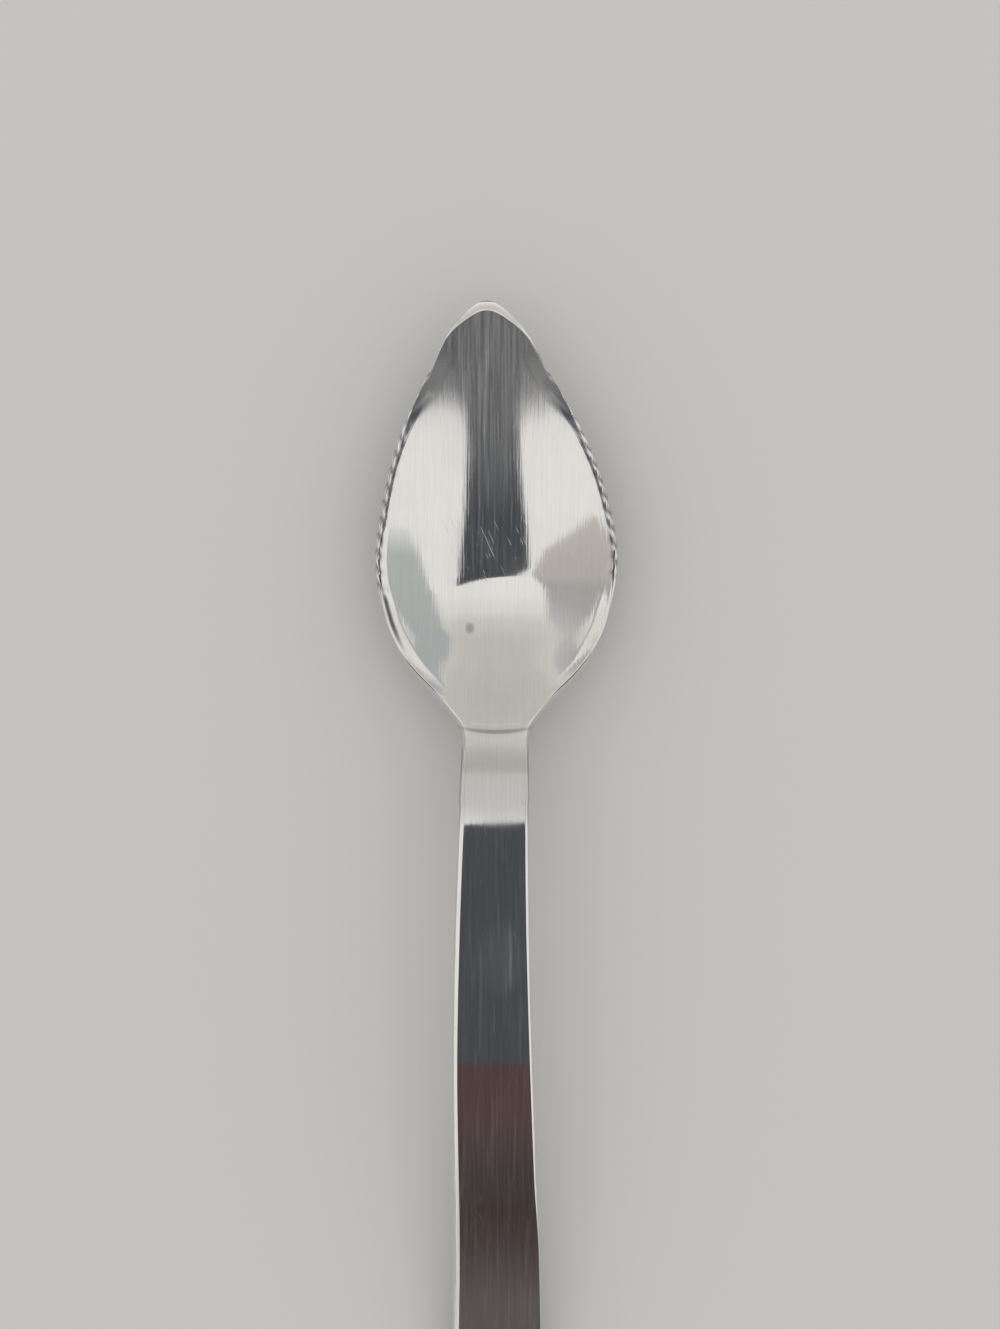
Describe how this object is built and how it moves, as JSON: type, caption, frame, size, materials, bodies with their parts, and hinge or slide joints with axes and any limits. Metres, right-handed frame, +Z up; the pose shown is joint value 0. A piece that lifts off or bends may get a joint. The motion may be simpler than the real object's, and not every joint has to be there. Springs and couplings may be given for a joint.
{
  "type": "grapefruit spoon",
  "caption": "One-piece stainless steel spoon with a pointed leaf-shaped bowl, serrated on both side edges, and a flat strap handle.",
  "frame": {"origin": "on the table, under the middle of the spoon's box: halfway along its length and halfway across the bowl", "axes": "+X to the right with the tip pointing away, +Y along the handle towards the bowl's tip, +Z up out of the bowl's hollow"},
  "size_m": [0.028, 0.158, 0.0127],
  "materials": {
    "stainless_steel": "polished along its length, with fine lines, worn by use"
  },
  "bodies": {
    "root": {"spoon": "stainless_steel"}
  },
  "joints": []
}
